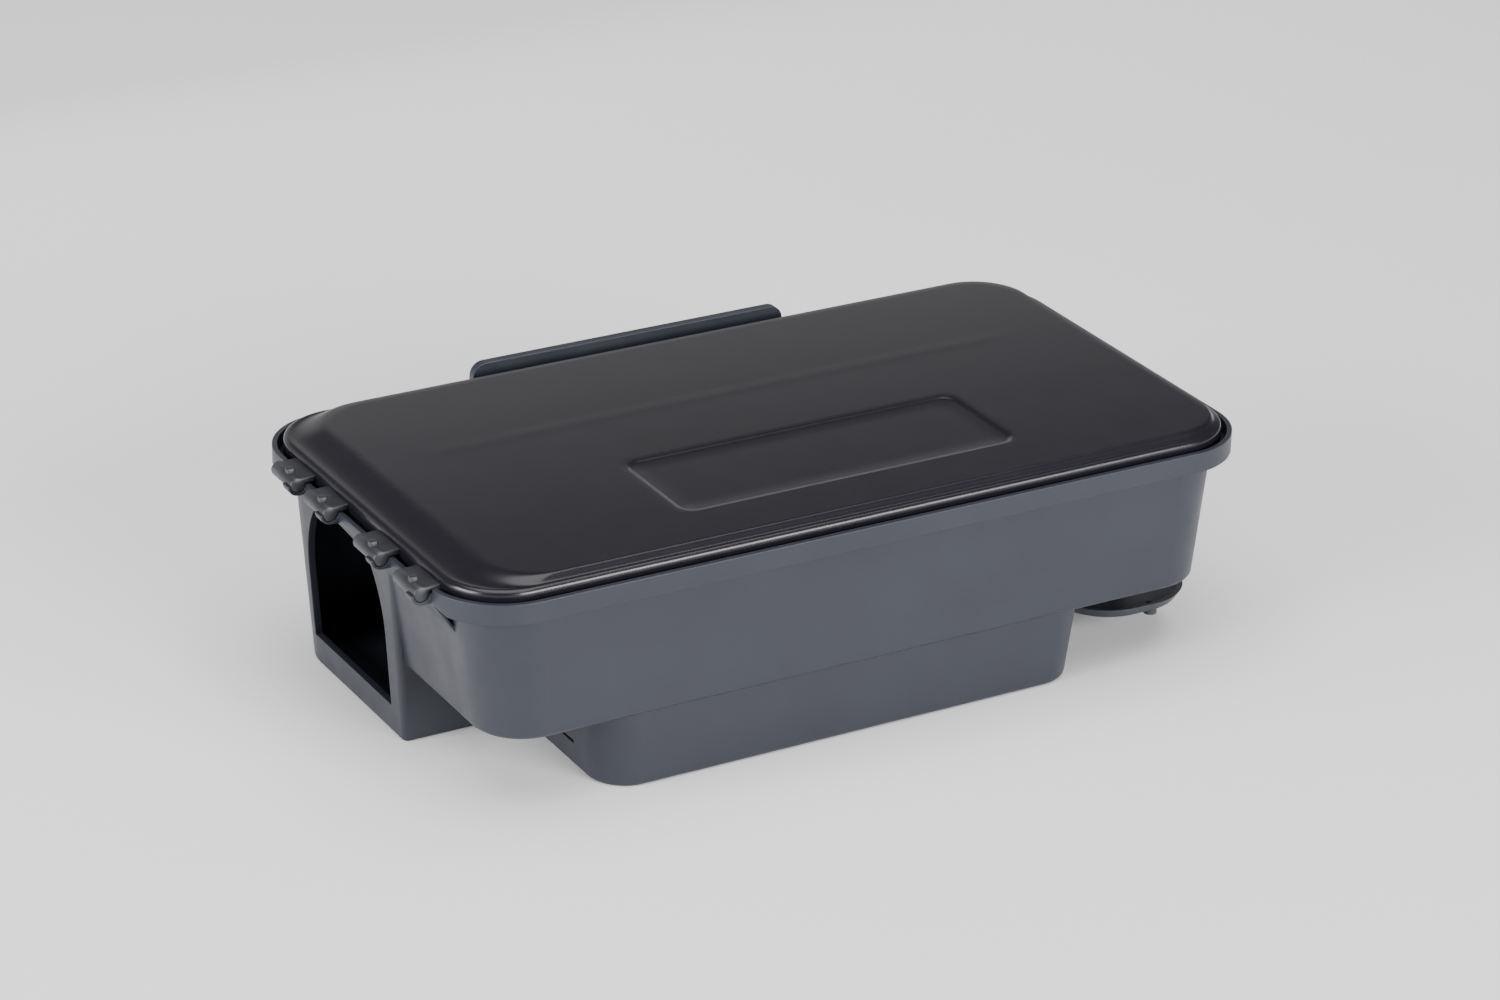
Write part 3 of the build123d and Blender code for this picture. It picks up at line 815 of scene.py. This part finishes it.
@dataclass
class Studio:
    """Floor, soft lights, dim surround and camera."""

    azimuth: float = -29.868
    elevation: float = 24.595
    roll: float = 0.998
    distance: float = 1.25135
    target: Triple = (0.0, 0.0, 0.04)
    lens: float = 110.45
    shift: tuple[float, float] = (-0.00273, 0.00853)
    surround: float = 0.13
    sensor: float = 36.0
    floor_half: float = 6.0
    floor_cells: int = 8
    floor_drop: float = 0.02 * MM

    def camera(self) -> None:
        """Adds the camera on a sphere round the target, turned about its own line of sight."""
        a, e, r = (math.radians(v) for v in (self.azimuth, self.elevation, self.roll))
        back = Vector((math.sin(a) * math.cos(e), -math.cos(a) * math.cos(e), math.sin(e)))
        right = (-back).cross(Vector((0, 0, 1))).normalized()
        up = right.cross(-back)
        side = right * math.cos(r) + up * math.sin(r)
        head = -right * math.sin(r) + up * math.cos(r)
        data = bpy.data.cameras.new("camera")
        data.lens = self.lens
        data.sensor_width = self.sensor
        data.shift_x, data.shift_y = self.shift
        data.clip_end = 50.0
        camera = bpy.data.objects.new("camera", data)
        bpy.context.scene.collection.objects.link(camera)
        turn = Matrix((side, head, back)).transposed().to_4x4()
        camera.matrix_world = Matrix.Translation(Vector(self.target) + back * self.distance) @ turn
        bpy.context.scene.camera = camera

    def floor(self) -> None:
        """Adds the floor, a wide flat grid just under the station's feet."""
        side = self.floor_cells + 1
        line = np.linspace(-self.floor_half, self.floor_half, side)
        x, y = np.meshgrid(line, line)
        points = np.column_stack([x.ravel(), y.ravel(), np.full(x.size, -self.floor_drop)])
        cells = np.arange(self.floor_cells)
        i = (cells[:, None] * side + cells[None, :]).ravel()
        piece = put_mesh("floor", points, np.column_stack([i, i + 1, i + side + 1, i + side]), [])
        dress(piece, PaleFloor().build())

    def build(self) -> None:
        """Adds everything around the station."""
        world = bpy.data.worlds.new("surround")
        bpy.context.scene.world = world
        world.use_nodes = True
        ground = world.node_tree.nodes["Background"]
        ground.inputs["Color"].default_value = (0.95, 0.97, 1.0, 1.0)
        ground.inputs["Strength"].default_value = self.surround
        SoftLight("overhead", (-0.1, -0.2, 1.7), 1.8, 1.8, 34.0).build()
        SoftLight("left", (-1.6, -0.1, 0.5), 1.0, 0.9, 36.0).build()
        SoftLight("front", (0.5, -1.8, 0.6), 1.2, 0.8, 56.0).build()
        SoftLight("rear_card", (0.0, 0.5, 0.17), 1.5, 0.24, 0.7, (0.0, 0.0, 0.14)).build()
        self.floor()
        self.camera()
        LOG.info("studio ready")


# --- whole station ---------------------------------------------------------------------------------


@dataclass
class Station:
    """All finishes, and which node or piece has which."""

    housing: MouldedPlastic = MouldedPlastic(
        Slot.HOUSING.value, (0.0189, 0.0212, 0.0288), 0.42, gloss=0.42)
    lid: MouldedPlastic = MouldedPlastic(
        Slot.LID.value, (0.0075, 0.007, 0.0105), 0.25, grain_depth=0.012 * MM,
        mottle=0.06, speck=0.016, edge_wear_and_highlight=0.1, patch=0.012)
    hinge: MouldedPlastic = MouldedPlastic("hinge_plastic", (0.017, 0.018, 0.022), 0.4)
    key: MouldedPlastic = MouldedPlastic(Slot.KEY.value, (0.022, 0.025, 0.033), 0.42)
    liner: MouldedPlastic = MouldedPlastic(Slot.LINER.value, (0.03, 0.032, 0.036), 0.5)
    steel: DrawnSteel = DrawnSteel(Slot.STEEL.value, (0.62, 0.62, 0.64))
    wax: PressedWax = PressedWax(Slot.WAX.value, (0.03, 0.16, 0.24), (0.42, 0.34, 0.16))

    def dress_nodes(self) -> None:
        """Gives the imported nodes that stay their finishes."""
        housing = self.housing.build()
        finishes = {"base": housing, "lock_tongue": housing, "baffle": housing, "key": self.key.build(),
                    "bait_tray": self.liner.build()}
        steel = self.steel.build()
        finishes.update({"bait_rod_left": steel, "bait_rod_right": steel})
        for node, material in finishes.items():
            dress(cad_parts[node], material)
            LOG.info("dressed %s", node)

    def build(self) -> None:
        """Builds the new pieces and dresses everything."""
        self.dress_nodes()
        Lid().build(self.lid.build(), self.hinge.build())
        wax = self.wax.build()
        for side in ("left", "right"):
            for layer in ("lower", "upper"):
                BaitBlock(f"bait_block_{side}_{layer}").build(wax)


def main() -> None:
    """Builds the station and its studio."""
    Station().build()
    Studio().build()


if __name__ == "__main__":
    main()
